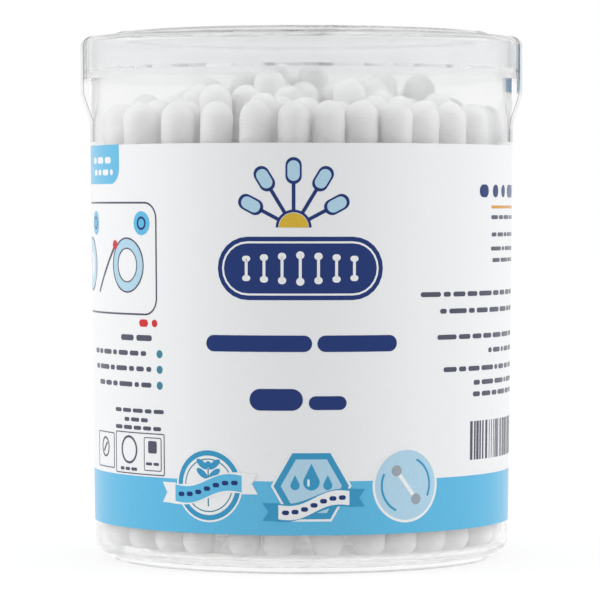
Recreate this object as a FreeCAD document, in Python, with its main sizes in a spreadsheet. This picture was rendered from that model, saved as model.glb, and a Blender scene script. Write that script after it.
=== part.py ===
"""Clear round tub of cotton swabs: tub, press-on lid, wrap-round label, seal film and the swabs.

Millimetres, +Z up. The origin is on the tub's axis, at the plane of the foot ring.
The front of the label faces -Y, its glued seam faces +Y, and the seal film runs along X.
"""

import FreeCAD
import Part
import Sketcher
import math
import os
import random
import re

# Driving dimensions: name, millimetres (or a plain count), meaning
SIZES = [
    ("neck_radius", 33.65, "outside of the straight neck"),
    ("wall_draft", 0.7, "how much narrower the drafted wall is at the floor"),
    ("foot_inset", 2.35, "foot ring inside the wall"),
    ("foot_width", 1.1, "radial width of the foot ring"),
    ("foot_height", 0.9, "height of the foot ring"),
    ("foot_round", 0.25, "rounding of the foot ring's edges"),
    ("gate_radius", 1.2, "moulding gate mark under the floor"),
    ("gate_height", 0.4, "how far the gate mark stands down"),
    ("floor_thickness", 1.2, "tub floor"),
    ("base_round", 2.0, "outer rounding from wall to floor"),
    ("inner_round", 1.0, "inner rounding from wall to floor"),
    ("wall_thickness", 0.95, "tub wall"),
    ("headspace", 9.8, "rim above a swab that stands on the floor"),
    ("neck_depth", 15.9, "straight neck below the rim"),
    ("rim_round", 0.3, "rounding of the rim"),
    ("lid_thickness", 0.95, "lid wall and top"),
    ("skirt_gap", 0.4, "between the neck and the skirt above its ridge"),
    ("seat_gap", 0.05, "between the rim and the lid"),
    ("skirt_depth", 5.85, "how far the skirt reaches below the rim"),
    ("ridge_height", 1.1, "grip ridge inside the skirt's lower edge"),
    ("ridge_ramp", 0.5, "height of the slope above the ridge"),
    ("ridge_clearance", 0.1, "between the ridge and the neck"),
    ("shoulder_height", 0.8, "lid's outer edge above the rim"),
    ("shoulder_round", 1.1, "rounding of the lid's outer edge"),
    ("step_height", 1.05, "lid's sloping ring at the platform, above the rim"),
    ("nest_gap", 0.3, "between the raised middle and another tub's foot ring"),
    ("platform_height", 1.65, "raised middle above the rim"),
    ("platform_round", 0.4, "rounding of the raised middle"),
    ("label_bottom", 6.1, "height of the label's lower edge"),
    ("label_margin", 0.4, "label's upper edge below the neck"),
    ("label_thickness", 0.1, "label film"),
    ("label_glue", 0.02, "glue between wall and label"),
    ("label_overlap", 6.0, "glued overlap of the label's ends"),
    ("film_width", 15.0, "seal film"),
    ("film_thickness", 0.1, "seal film"),
    ("film_glue", 0.05, "glue between lid and seal film"),
    ("film_stand", 0.25, "between the skirt and the film that hangs beside it"),
    ("film_slack", 2.3, "how far the film runs straight on below the skirt"),
    ("film_drop", 4.4, "height over which the film crosses to the neck"),
    ("film_end", 0.6, "film's ends above the label"),
    ("film_bend_right", 8.0, "bend of the film beside the neck, +X side"),
    ("film_bend_left", 1.5, "bend of the film beside the neck, -X side"),
    ("swab_count", 100, "swabs in the tub"),
    ("swab_length", 70.0, "tip to tip"),
    ("stem_radius", 1.15, "plastic stem"),
    ("bud_radius", 2.6, "cotton bud"),
    ("bud_length", 15.0, "cotton bud"),
    ("bud_collar", 0.3, "cotton left on the stem at the bud's inner end"),
    ("tip_cover", 1.3, "cotton beyond the stem's end"),
    ("wrap_gap", 0.02, "between stem and cotton"),
    ("swab_gap", 0.12, "between two swabs, and from swab to tub"),
    ("swab_headroom", 1.2, "rim above the highest swab"),
]

# Heights and radii that follow from them and that several pieces share
WORKED_OUT = [
    ("floor_top", "foot_height + floor_thickness", "inside of the floor"),
    ("tub_height", "floor_top + swab_length + headspace", "height of the rim"),
    ("neck_start", "tub_height - neck_depth", "height where the drafted wall ends"),
    ("neck_inside", "neck_radius - wall_thickness", "mouth of the tub"),
    ("base_radius", "neck_radius - wall_draft", "outside of the wall at the floor"),
    ("wall_slope", "wall_draft / (neck_start - foot_height)", "widening of the wall with height"),
    ("floor_inside", "base_radius + floor_thickness * wall_slope - wall_thickness", "inside at the floor"),
    ("foot_radius", "base_radius - foot_inset", "outside of the foot ring"),
    ("foot_inside", "foot_radius - foot_width", "inside of the foot ring"),
    ("lid_seat", "tub_height + seat_gap", "underside of the lid over the rim"),
    ("lid_top", "lid_seat + platform_height", "top of the raised middle"),
    ("skirt_bottom", "lid_seat - skirt_depth", "lower edge of the lid"),
    ("skirt_inside", "neck_radius + skirt_gap", "inside of the skirt above its ridge"),
    ("lid_radius", "skirt_inside + lid_thickness", "outside of the skirt"),
    ("ridge_inside", "neck_radius + ridge_clearance", "inside of the grip ridge"),
    ("platform_radius", "foot_inside - nest_gap", "raised middle of the lid"),
    ("label_top", "neck_start - label_margin", "label's upper edge"),
    ("label_rest", "base_radius + label_glue - foot_height * wall_slope", "label's inside if it began at zero height"),
    ("label_low_radius", "label_rest + label_bottom * wall_slope", "label's inside at its lower edge"),
    ("label_high_radius", "label_rest + label_top * wall_slope", "label's inside at its upper edge"),
    ("swab_rise", "headspace - swab_headroom", "most that a middle swab stands above the floor"),
]

ROW_NAMES = ["wall_row", "second_row", "third_row", "fourth_row", "fifth_row", "middle"]
ROW_PITCH_COUNT = 5.55
SHUFFLE_SEED = 21
SPREAD_ROUNDS = 120
PAIR_CHECK_COUNT = 16
FULLEST_SHARE = 0.72

document = FreeCAD.newDocument("swab_tub")
sheet = document.addObject("Spreadsheet::Sheet", "sizes")
for row, (alias, value, meaning) in enumerate(SIZES, start=1):
    sheet.set(f"A{row}", str(value))
    sheet.setAlias(f"A{row}", alias)
    sheet.set(f"B{row}", meaning)
document.recompute()

DRIVING_NAMES = [entry[0] for entry in SIZES]
WORKED_NAMES = [entry[0] for entry in WORKED_OUT]


def bound(formula):
    """The formula with each name pointed at the object that holds it, for setExpression."""

    def owner(found):
        name = found.group(0)
        if name in DRIVING_NAMES:
            return "sizes." + name
        return "levels." + name if name in WORKED_NAMES else name

    return re.sub(r"[a-z]\w*", owner, formula)


levels = document.addObject("App::VarSet", "levels")
for name, formula, meaning in WORKED_OUT:
    levels.addProperty("App::PropertyFloat", name, "Worked out", meaning)
    levels.setExpression(name, bound(formula))
document.recompute()


def size(name):
    """The value of a driving dimension, or of one worked out from them."""
    return float(sheet.get(name) if name in DRIVING_NAMES else getattr(levels, name))


def wall_inside(height):
    """Inside radius of the tub at a height."""
    drafted = min(height, size("neck_start")) - size("foot_height")
    return size("base_radius") + drafted * size("wall_slope") - size("wall_thickness")


def origin_plane(body, role):
    """One of the body's own origin planes."""
    return next(feature for feature in body.Origin.OriginFeatures if feature.Role == role)


def new_body(label):
    """An empty body whose label names its file."""
    body = document.addObject("PartDesign::Body", label + "_body")
    body.Label = label
    return body


def hold_point(sketch, line, end, x_formula, z_formula):
    """Ties one end of a line to the named sizes, measured from the sketch's origin."""
    for kind, axis, formula in (("DistanceX", -2, x_formula), ("DistanceY", -1, z_formula)):
        if formula == "0":
            sketch.addConstraint(Sketcher.Constraint("PointOnObject", line, end, axis))
            continue
        index = sketch.addConstraint(Sketcher.Constraint(kind, -1, 1, line, end, 1.0))
        sketch.setExpression(f"Constraints[{index}]", bound(formula))


def outline(body, name, corners, plane="XZ_Plane"):
    """A closed outline of straight lines through named corners, each a radius and a height."""
    sketch = body.newObject("Sketcher::SketchObject", name)
    sketch.AttachmentSupport = [(origin_plane(body, plane), "")]
    sketch.MapMode = "FlatFace"
    count = len(corners)
    turn = 2 * math.pi / count
    start = [FreeCAD.Vector(math.cos(n * turn), math.sin(n * turn), 0) for n in range(count)]
    for n, point in enumerate(start):
        sketch.addGeometry(Part.LineSegment(point, start[(n + 1) % count]), False)
    for n in range(count):
        sketch.addConstraint(Sketcher.Constraint("Coincident", n, 2, (n + 1) % count, 1))
    for n, (radius, height) in enumerate(corners.values()):
        hold_point(sketch, n, 1, radius, height)
    document.recompute()
    return sketch


def revolve(body, sketch, name, degrees=360.0, middle=False):
    """Turns an outline round the tub's axis."""
    turned = body.newObject("PartDesign::Revolution", name)
    turned.Profile = sketch
    turned.ReferenceAxis = (sketch, ["V_Axis"])
    turned.Midplane = middle
    turned.Angle = degrees
    sketch.Visibility = False
    body.Tip = turned
    document.recompute()
    return turned


def round_corners(body, sketch, corners, rounded, radius_name):
    """Fillets the rings that some named corners of the outline swept out."""
    base = body.Tip
    names = []
    for corner in rounded:
        point = sketch.Geometry[list(corners).index(corner)].StartPoint
        for n, edge in enumerate(base.Shape.Edges, start=1):
            ring = edge.Curve
            if (
                isinstance(ring, Part.Circle)
                and abs(ring.Radius - point.x) < 1e-4
                and abs(ring.Center.z - point.y) < 1e-4
            ):
                names.append(f"Edge{n}")
    fillet = body.newObject("PartDesign::Fillet", f"{radius_name}_{body.Label}")
    fillet.Base = (base, names)
    fillet.setExpression("Radius", bound(radius_name))
    body.Tip = fillet
    document.recompute()


def make_tub():
    """The moulded tub: foot ring, floor, drafted wall, straight neck and rim."""
    body = new_body("tub")
    corners = {
        "gate_middle": ("0", "foot_height - gate_height"),
        "gate_edge": ("gate_radius", "foot_height - gate_height"),
        "gate_root": ("gate_radius", "foot_height"),
        "foot_root_inside": ("foot_inside", "foot_height"),
        "foot_inside": ("foot_inside", "0"),
        "foot_outside": ("foot_radius", "0"),
        "foot_root_outside": ("foot_radius", "foot_height"),
        "base": ("base_radius", "foot_height"),
        "neck": ("neck_radius", "neck_start"),
        "rim_outside": ("neck_radius", "tub_height"),
        "rim_inside": ("neck_inside", "tub_height"),
        "neck_back": ("neck_inside", "neck_start"),
        "floor_edge": ("floor_inside", "floor_top"),
        "floor_middle": ("0", "floor_top"),
    }
    sketch = outline(body, "tub_outline", corners)
    revolve(body, sketch, "tub_turned")
    round_corners(body, sketch, corners, ["foot_inside", "foot_outside"], "foot_round")
    round_corners(body, sketch, corners, ["base"], "base_round")
    round_corners(body, sketch, corners, ["rim_outside", "rim_inside"], "rim_round")
    round_corners(body, sketch, corners, ["floor_edge"], "inner_round")
    return body


def make_lid():
    """The press-on lid: raised middle, sloping ring, rounded shoulder and ridged skirt."""
    body = new_body("lid")
    corners = {
        "ceiling_middle": ("0", "lid_top - lid_thickness"),
        "ceiling_edge": ("platform_radius - lid_thickness", "lid_top - lid_thickness"),
        "seat_inside": ("platform_radius - lid_thickness", "lid_seat"),
        "seat_outside": ("skirt_inside", "lid_seat"),
        "ramp_top": ("skirt_inside", "skirt_bottom + ridge_height + ridge_ramp"),
        "ridge_top": ("ridge_inside", "skirt_bottom + ridge_height"),
        "ridge_bottom": ("ridge_inside", "skirt_bottom"),
        "skirt_edge": ("lid_radius", "skirt_bottom"),
        "shoulder": ("lid_radius", "lid_seat + shoulder_height"),
        "step": ("platform_radius", "lid_seat + step_height"),
        "platform_edge": ("platform_radius", "lid_top"),
        "platform_middle": ("0", "lid_top"),
    }
    sketch = outline(body, "lid_outline", corners)
    revolve(body, sketch, "lid_turned")
    round_corners(body, sketch, corners, ["shoulder"], "shoulder_round")
    round_corners(body, sketch, corners, ["platform_edge"], "platform_round")
    return body


def label_layer(body, name, plane, under):
    """The outline of one layer of label film that lies on so many layers under it."""
    inner = f" + {under} * label_thickness"
    outer = f" + {under + 1} * label_thickness"
    corners = {
        "low_inside": ("label_low_radius" + inner, "label_bottom"),
        "low_outside": ("label_low_radius" + outer, "label_bottom"),
        "high_outside": ("label_high_radius" + outer, "label_top"),
        "high_inside": ("label_high_radius" + inner, "label_top"),
    }
    return outline(body, name, corners, plane)


def make_label():
    """The wrap-round label on the drafted wall, its ends overlapped at the back."""
    body = new_body("label")
    revolve(body, label_layer(body, "label_outline", "XZ_Plane", 0), "label_turned")
    overlap = label_layer(body, "overlap_outline", "YZ_Plane", 1)
    flap = revolve(body, overlap, "label_flap", middle=True)
    flap.setExpression("Angle", bound("label_overlap / neck_radius") + " * 180 / pi * 1deg")
    document.recompute()
    return body


def rounded_route(points, bends):
    """A wire through points in the XZ plane, its inner corners turned into arcs."""
    points = [FreeCAD.Vector(x, 0, z) for x, z in points]
    edges = []
    here = points[0]
    for before, corner, after, bend in zip(points, points[1:], points[2:], bends):
        back = (before - corner).normalize()
        ahead = (after - corner).normalize()
        half_turn = (math.pi - back.getAngle(ahead)) / 2
        reach = bend * math.tan(half_turn)
        centre = corner + (back + ahead).normalize() * (bend / math.cos(half_turn))
        entry = corner + back * reach
        leave = corner + ahead * reach
        crown = centre + (corner - centre).normalize() * bend
        edges.append(Part.makeLine(here, entry))
        edges.append(Part.Arc(entry, crown, leave).toShape())
        here = leave
    edges.append(Part.makeLine(here, points[-1]))
    return Part.Wire(edges)


def film_route(bend):
    """Inner side of the seal film from the lid's middle to its end on the neck."""
    glue = size("film_glue")
    platform = size("platform_radius")
    step = size("platform_height") - size("step_height")
    ring_rise = (size("step_height") - size("shoulder_height")) / (size("lid_radius") - platform)
    ring_top = size("lid_seat") + size("step_height") + glue
    landing = platform + 3 * step
    hanging = size("lid_radius") + size("film_stand")
    leaving = size("skirt_bottom") - size("film_slack")
    points = [
        (0, size("lid_top") + glue),
        (platform, size("lid_top") + glue),
        (landing, ring_top - ring_rise * (landing - platform)),
        (hanging, ring_top - ring_rise * (hanging - platform)),
        (hanging, leaving),
        (size("ridge_inside"), leaving - size("film_drop")),
        (size("ridge_inside"), size("label_top") + size("film_end")),
    ]
    shoulder = size("shoulder_round") + size("film_stand")
    return rounded_route(points, [size("platform_round"), step, shoulder, bend, bend])


def half_film(name, bend, degrees):
    """The film on one side of the lid: its route thickened and turned, still full width."""
    route = document.addObject("Part::Feature", name + "_route")
    route.Shape = film_route(bend)
    layer = document.addObject("Part::Offset2D", name + "_layer")
    layer.Source = route
    layer.setExpression("Value", bound("film_thickness"))
    layer.Mode = "Skin"
    layer.Fill = True
    turned = document.addObject("Part::Revolution", name + "_turned")
    turned.Source = layer
    turned.Axis = FreeCAD.Vector(0, 0, 1)
    turned.Angle = 180.0
    turned.Solid = True
    turned.Placement = FreeCAD.Placement(FreeCAD.Vector(), FreeCAD.Rotation(degrees, 0, 0))
    return turned


def make_film():
    """The clear seal film over the lid, with both ends on the neck."""
    whole = document.addObject("Part::Fuse", "film_halves")
    whole.Base = half_film("film_right", size("film_bend_right"), -90.0)
    whole.Tool = half_film("film_left", size("film_bend_left"), 90.0)
    whole.Refine = True
    band = document.addObject("Part::Box", "film_band")
    band.setExpression("Length", bound("4 * lid_radius"))
    band.setExpression("Width", bound("film_width"))
    band.setExpression("Height", bound("2 * tub_height"))
    band.setExpression("Placement.Base.x", bound("-2 * lid_radius"))
    band.setExpression("Placement.Base.y", bound("-film_width / 2"))
    film = document.addObject("Part::Common", "film_cut")
    film.Base = whole
    film.Tool = band
    film.Label = "seal_film"
    document.recompute()
    return film


def make_stem():
    """One stem, upright, with its lower end at the origin."""
    stem = document.addObject("Part::Cylinder", "stem_pattern")
    stem.setExpression("Radius", bound("stem_radius"))
    stem.setExpression("Height", bound("swab_length - 2 * tip_cover"))
    document.recompute()
    return stem


def bud_side():
    """Radius of the arc from the bud's widest ring to its collar."""
    inward = size("bud_radius") - size("stem_radius") - size("bud_collar")
    along = size("bud_length") - size("bud_radius")
    return (along**2 + inward**2) / (2 * inward)


def bud_girth(along):
    """The bud's radius at a distance from its tip, or the stem's beyond the bud."""
    widest = size("bud_radius")
    if along < widest:
        return math.sqrt(max(widest**2 - (widest - along) ** 2, 0.0))
    if along > size("bud_length"):
        return size("stem_radius")
    side = bud_side()
    return widest - side + math.sqrt(side**2 - (along - widest) ** 2)


def make_bud():
    """One cotton bud with its tip at the origin, wound round the end of a stem."""
    body = new_body("bud_pattern")
    sketch = body.newObject("Sketcher::SketchObject", "bud_outline")
    sketch.AttachmentSupport = [(origin_plane(body, "XZ_Plane"), "")]
    sketch.MapMode = "FlatFace"
    widest, length, cover = size("bud_radius"), size("bud_length"), size("tip_cover")
    bore = size("stem_radius") + size("wrap_gap")
    half_way = (widest + length) / 2
    tip = FreeCAD.Vector(0, 0, 0)
    cap = FreeCAD.Vector(widest * math.sqrt(0.5), widest * (1 - math.sqrt(0.5)), 0)
    belly = FreeCAD.Vector(widest, widest, 0)
    side = FreeCAD.Vector(bud_girth(half_way), half_way, 0)
    lip = FreeCAD.Vector(size("stem_radius") + size("bud_collar"), length, 0)
    mouth = FreeCAD.Vector(bore, length, 0)
    corner = FreeCAD.Vector(bore, cover, 0)
    middle = FreeCAD.Vector(0, cover, 0)
    sketch.addGeometry(Part.Arc(tip, cap, belly), False)
    sketch.addGeometry(Part.Arc(belly, side, lip), False)
    for near, far in ((lip, mouth), (mouth, corner), (corner, middle), (middle, tip)):
        sketch.addGeometry(Part.LineSegment(near, far), False)
    hold_point(sketch, 2, 1, "stem_radius + bud_collar", "bud_length")
    hold_point(sketch, 3, 1, "stem_radius + wrap_gap", "bud_length")
    hold_point(sketch, 4, 1, "stem_radius + wrap_gap", "tip_cover")
    hold_point(sketch, 5, 1, "0", "tip_cover")
    revolve(body, sketch, "bud_turned")
    return body


class Swab:
    """A swab as the centres of its two rounded ends in plan, and the height of the lower one."""

    def __init__(self, low, high, rise):
        self.low = list(low)
        self.high = list(high)
        self.span = size("swab_length") - 2 * size("bud_radius")
        self.base = size("floor_top") + size("bud_radius") + size("swab_gap") / 2 + rise

    def climb(self):
        """Height between the two centres, less as the swab leans more."""
        return math.sqrt(self.span**2 - math.dist(self.low, self.high) ** 2)

    def at(self, share):
        """The axis's place in plan, at a share of the span."""
        return [a + (b - a) * share for a, b in zip(self.low, self.high)]

    def push(self, share, move):
        """Moves the axis in plan at one place, as a rod that turns and slides."""
        weight = (1 - share) ** 2 + share**2
        for n in range(2):
            self.low[n] += move[n] * (1 - share) / weight
            self.high[n] += move[n] * share / weight


def row_radii():
    """Plan radius of each row of swabs, from the wall inwards."""
    outer = size("floor_inside") - size("bud_radius") - size("swab_gap")
    spacing = outer / ROW_PITCH_COUNT
    return [outer - n * spacing for n in range(len(ROW_NAMES))]


def row_counts(radii):
    """How many swabs stand in each row: the wanted number, or as many as fit."""
    room = size("floor_inside") / size("bud_radius")
    wanted = min(round(size("swab_count")), int(FULLEST_SHARE * room**2))
    shares = [wanted * radius / sum(radii) for radius in radii]
    counts = [int(share) for share in shares]
    by_rest = sorted(range(len(shares)), key=lambda n: counts[n] - shares[n])
    for n in by_rest[: wanted - sum(counts)]:
        counts[n] += 1
    return counts


def keep_inside(swab):
    """Brings both ends of a swab back inside the wall."""
    for point, height in ((swab.low, swab.base), (swab.high, swab.base + swab.climb())):
        limit = wall_inside(height) - size("bud_radius") - size("swab_gap")
        reach = math.hypot(*point)
        if reach > limit:
            point[:] = [c * limit / reach for c in point]


def part_pair(one, two, girths, gap):
    """Pushes two swabs apart wherever they come too close. Returns the worst overlap."""
    worst = 0.0
    climbs = one.climb(), two.climb()
    bottom = max(one.base, two.base)
    top = min(one.base + climbs[0], two.base + climbs[1])
    for step in range(PAIR_CHECK_COUNT + 1):
        height = bottom + (top - bottom) * step / PAIR_CHECK_COUNT
        shares = (height - one.base) / climbs[0], (height - two.base) / climbs[1]
        near = sum(girths[round(share * (len(girths) - 1))] for share in shares) + gap
        a, b = one.at(shares[0]), two.at(shares[1])
        apart = math.dist(a, b)
        if apart < near:
            worst = max(worst, near - apart)
            move = [(q - p) / max(apart, 1e-6) * (near - apart) / 2 for p, q in zip(a, b)]
            two.push(shares[1], move)
            one.push(shares[0], [-m for m in move])
    return worst


def swab_girths(steps=400):
    """The swab's radius at even steps from its lower to its upper rounded end's centre."""
    length, widest = size("swab_length"), size("bud_radius")
    alongs = [widest + (length - 2 * widest) * n / steps for n in range(steps + 1)]
    return [bud_girth(min(along, length - along)) for along in alongs]


def arrange_swabs():
    """Stands the swabs in loose rows that lean to and fro, then eases them apart."""
    shuffle = random.Random(SHUFFLE_SEED)
    rows = []
    radii = row_radii()
    for n, (radius, count) in enumerate(zip(radii, row_counts(radii))):
        row = []
        for k in range(count):
            angle = 2 * math.pi * (k + 0.5 * (n % 2) + shuffle.uniform(-0.2, 0.2)) / max(count, 1)
            lean = shuffle.uniform(-2.1, 2.1) * size("bud_radius") / max(radius, size("bud_radius"))
            inward = shuffle.uniform(-0.45, 0.45) * size("bud_radius")
            low = (radius * math.cos(angle), radius * math.sin(angle))
            high = ((radius + inward) * math.cos(angle + lean), (radius + inward) * math.sin(angle + lean))
            freedom = 1 - (radius / radii[0]) ** 2
            rise = size("swab_rise") * freedom * shuffle.random() ** 1.3
            row.append(Swab(low, high, rise))
        rows.append(row)
    swabs = [swab for row in rows for swab in row]
    girths = swab_girths()
    gap = size("swab_gap")
    reach = 4 * size("bud_radius")
    for spread in range(SPREAD_ROUNDS):
        if spread % 15 == 0:
            pairs = [
                (one, two)
                for n, one in enumerate(swabs)
                for two in swabs[n + 1 :]
                if min(math.dist(one.low, two.low), math.dist(one.high, two.high)) < reach
            ]
        worst = max((part_pair(one, two, girths, gap) for one, two in pairs), default=0.0)
        for swab in swabs:
            keep_inside(swab)
        if worst < 0.2 * gap:
            break
    print(f"{len(swabs)} swabs eased apart in {spread + 1} rounds, to {worst:.3f} mm")
    return rows


def place_rows(rows, stem, bud):
    """Three nodes for each row: its stems, its lower buds and its upper buds."""
    made = []
    for name, row in zip(ROW_NAMES, rows):
        groups = {"stems": [], "lower_buds": [], "upper_buds": []}
        for swab in row:
            foot = FreeCAD.Vector(*swab.low, swab.base)
            head = FreeCAD.Vector(*swab.high, swab.base + swab.climb())
            up = (head - foot).normalize()
            low_tip = foot - up * size("bud_radius")
            high_tip = head + up * size("bud_radius")
            upright = FreeCAD.Rotation(FreeCAD.Vector(0, 0, 1), up)
            turned = FreeCAD.Rotation(FreeCAD.Vector(0, 0, 1), up * -1)
            for kind, shape, place, way in (
                ("stems", stem.Shape, low_tip + up * size("tip_cover"), upright),
                ("lower_buds", bud.Shape, low_tip, upright),
                ("upper_buds", bud.Shape, high_tip, turned),
            ):
                groups[kind].append(shape.transformed(FreeCAD.Placement(place, way).toMatrix()))
        for kind, shapes in groups.items():
            if shapes:
                node = document.addObject("Part::Feature", f"{name}_{kind}_group")
                node.Shape = Part.Compound(shapes)
                node.Label = f"{name}_{kind}"
                made.append(node)
    return made


def main():
    """Builds every piece, checks the document and writes one file for each node."""
    nodes = [make_tub(), make_lid(), make_label(), make_film()]
    stem, bud = make_stem(), make_bud()
    nodes += place_rows(arrange_swabs(), stem, bud)
    document.recompute()
    for thing in document.Objects:
        if "Invalid" in thing.State or "Error" in thing.State:
            raise RuntimeError(f"{thing.Label} failed: {thing.State}")
    for node in nodes:
        if node.Shape.isNull() or not node.Shape.isValid() or not node.Shape.Solids:
            raise RuntimeError(f"{node.Label} has no valid shape")
    os.makedirs("parts", exist_ok=True)
    for node in nodes:
        node.Shape.exportStep(os.path.join("parts", node.Label + ".step"))
        box = node.Shape.BoundBox
        print(
            f"{node.Label}: {len(node.Shape.Solids)} solids, {node.Shape.Volume:.1f} mm3, "
            f"z {box.ZMin:.2f} to {box.ZMax:.2f}"
        )


main()
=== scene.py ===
"""Looks of the cotton swab tub: clear plastic, printed label, seal film and wound cotton.

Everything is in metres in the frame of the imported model, and the camera looks along +Y.
Lengths of the print and of the cotton are written in millimetres, and MM turns them into metres.
A place on the label is how far it lies round from the middle of the front, to the right, and how
high above the foot. The print is generic: fields of colour, plain bars and simple figures.
"""

import math
import random

import bmesh
import bpy
import numpy as np
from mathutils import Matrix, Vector, noise


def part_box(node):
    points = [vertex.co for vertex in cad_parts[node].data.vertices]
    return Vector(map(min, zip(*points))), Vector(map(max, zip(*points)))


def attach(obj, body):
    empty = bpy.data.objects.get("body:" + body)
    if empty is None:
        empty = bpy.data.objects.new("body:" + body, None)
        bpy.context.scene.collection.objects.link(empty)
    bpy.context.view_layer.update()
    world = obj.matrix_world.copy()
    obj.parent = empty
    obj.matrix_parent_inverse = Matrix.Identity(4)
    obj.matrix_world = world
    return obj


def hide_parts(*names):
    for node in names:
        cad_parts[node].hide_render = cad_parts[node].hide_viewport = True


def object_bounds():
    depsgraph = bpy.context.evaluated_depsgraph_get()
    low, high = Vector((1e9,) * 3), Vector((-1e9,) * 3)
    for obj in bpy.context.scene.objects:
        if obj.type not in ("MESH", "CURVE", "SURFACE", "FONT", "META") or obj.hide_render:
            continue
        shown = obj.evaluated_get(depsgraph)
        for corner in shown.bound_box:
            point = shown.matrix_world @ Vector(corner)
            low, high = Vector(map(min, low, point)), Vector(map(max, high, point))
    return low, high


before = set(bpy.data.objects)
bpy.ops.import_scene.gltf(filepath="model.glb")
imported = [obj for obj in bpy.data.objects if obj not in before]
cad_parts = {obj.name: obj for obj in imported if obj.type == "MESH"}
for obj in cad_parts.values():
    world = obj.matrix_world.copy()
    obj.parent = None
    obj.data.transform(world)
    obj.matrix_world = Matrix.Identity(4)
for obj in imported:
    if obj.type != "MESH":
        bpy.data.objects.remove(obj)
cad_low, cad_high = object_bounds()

MM = 0.001

# The photograph's view, with the focal length and the tub's axis in pixels of its frame
IMAGE_SIZE = 600
FOCAL_PIXELS = 3602.0
TUB_AXIS_X_PIXEL = 301.5
CAMERA_DISTANCE = 578.0 * MM
CAMERA_HEIGHT = 56.0 * MM
CAMERA_PITCH = math.radians(1.49)
CAMERA_NEAREST = 10.0 * MM
SENSOR_WIDTH = 36.0

# Floor: the white it glows with, and how much of that white each kind of ray sees near the tub
FLOOR_HALF_SIZE = 3.0
FLOOR_GAP = 0.02 * MM
FLOOR_GREY = (0.82, 0.82, 0.82)
FLOOR_GLOW = 1.045
FLOOR_GLOW_SHARES = {
    "Is Camera Ray": 0.8, "Is Glossy Ray": 0.95, "Is Transmission Ray": 0.95, "Is Diffuse Ray": 0.45
}
# Distances from the tub's axis, in metres, over which the camera comes to see plain white alone
FLOOR_FADE_FROM, FLOOR_FADE_TO = 0.15, 0.7

# World: the level that lights the object, and the rays that see plain white instead
WORLD_LEVEL = 0.61
WORLD_WHITE_SHARES = {"Is Camera Ray": 1.0, "Is Glossy Ray": 1.0, "Is Transmission Ray": 1.0}

# Soft boxes: place, then width and height in metres, then power in watts
SOFTBOXES = {
    "left_softbox": ((-0.9, -0.1, 0.4), (0.5, 1.0), 4.85),
    "right_softbox": ((0.9, -0.1, 0.4), (0.5, 1.0), 4.85),
    "back_softbox": ((0.0, 1.0, 0.6), (1.4, 1.0), 1.1),
    "top_softbox": ((0.0, 0.0, 1.0), (1.1, 1.1), 3.0),
}

# Colours as linear values
WHITE = (0.78, 0.79, 0.8)
COTTON_WHITE = (0.965, 0.96, 0.95)
STEM_WHITE = (0.82, 0.83, 0.84)
FILM_BLUE = (0.04, 0.27, 0.48)
INK_COLOURS = {
    "sky": (0.1, 0.44, 0.69),
    "sky_deep": (0.03, 0.28, 0.5),
    "sky_pale": (0.4, 0.6, 0.73),
    "white": WHITE,
    "navy": (0.003, 0.025, 0.15),
    "text": (0.065, 0.07, 0.11),
    "teal": (0.04, 0.2, 0.28),
    "orange": (0.62, 0.28, 0.02),
    "red": (0.55, 0.02, 0.02),
    "yellow": (0.62, 0.41, 0.03),
    "silver": (0.3, 0.34, 0.38),
}

PLASTIC_IOR = 1.49

# Clear plastics: wave is the strength of the surface's ripple, clearness the share of light that
# goes through, bounces the reflections followed inside, and edge what is left of the light then
CLEAR_PLASTICS = {
    "tub": dict(
        name="clear_tub", colour=(0.985, 0.99, 0.987), roughness=0.07,
        wave=0.04, clearness=0.89, edge=0.95, bounces=2,
    ),
    "lid": dict(
        name="clear_lid", colour=(0.982, 0.986, 0.994), roughness=0.05,
        wave=0.015, clearness=0.955, edge=0.8, bounces=1,
    ),
    "seal_film": dict(
        name="clear_film", colour=(0.975, 0.98, 0.99), roughness=0.05,
        wave=0.05, clearness=0.97, edge=0.75, bounces=1,
    ),
}


def node_tree(name):
    """A fresh material with its tree emptied, and the tree."""
    material = bpy.data.materials.new(name)
    material.use_nodes = True
    material.node_tree.nodes.clear()
    return material, material.node_tree


def add(tree, kind, **settings):
    """A node with some of its settings and inputs filled in."""
    node = tree.nodes.new(kind)
    for key, value in settings.items():
        if key in node.inputs:
            node.inputs[key].default_value = value
        else:
            setattr(node, key, value)
    return node


def principled(tree, settings):
    """The main shader with the named sockets set."""
    return add(tree, "ShaderNodeBsdfPrincipled", **settings)


def mixed(tree, share, first, second):
    """A mix of two shaders by a share that another node gives."""
    mix = add(tree, "ShaderNodeMixShader")
    tree.links.new(share, mix.inputs["Fac"])
    tree.links.new(first.outputs[0], mix.inputs[1])
    tree.links.new(second.outputs[0], mix.inputs[2])
    return mix


def grain(tree, scale, stretch=(1, 1, 1), detail=4.0):
    """Noise over the object's own coordinates, stretched along the axes."""
    place = add(tree, "ShaderNodeTexCoord")
    mapping = add(tree, "ShaderNodeMapping", Scale=stretch)
    speckle = add(tree, "ShaderNodeTexNoise", Scale=scale, Detail=detail)
    tree.links.new(place.outputs["Object"], mapping.inputs["Vector"])
    tree.links.new(mapping.outputs["Vector"], speckle.inputs["Vector"])
    return speckle


def tinted(tree, speckle, colour, spread):
    """A ramp between a slightly darker and a slightly lighter shade of a colour."""
    ramp = add(tree, "ShaderNodeValToRGB")
    for element, place, factor in zip(ramp.color_ramp.elements, (0.3, 0.7), (1 - spread, 1 + spread)):
        element.position = place
        element.color = [min(c * factor, 1.0) for c in colour] + [1.0]
    tree.links.new(speckle.outputs["Fac"], ramp.inputs["Fac"])
    return ramp.outputs["Color"]


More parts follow.
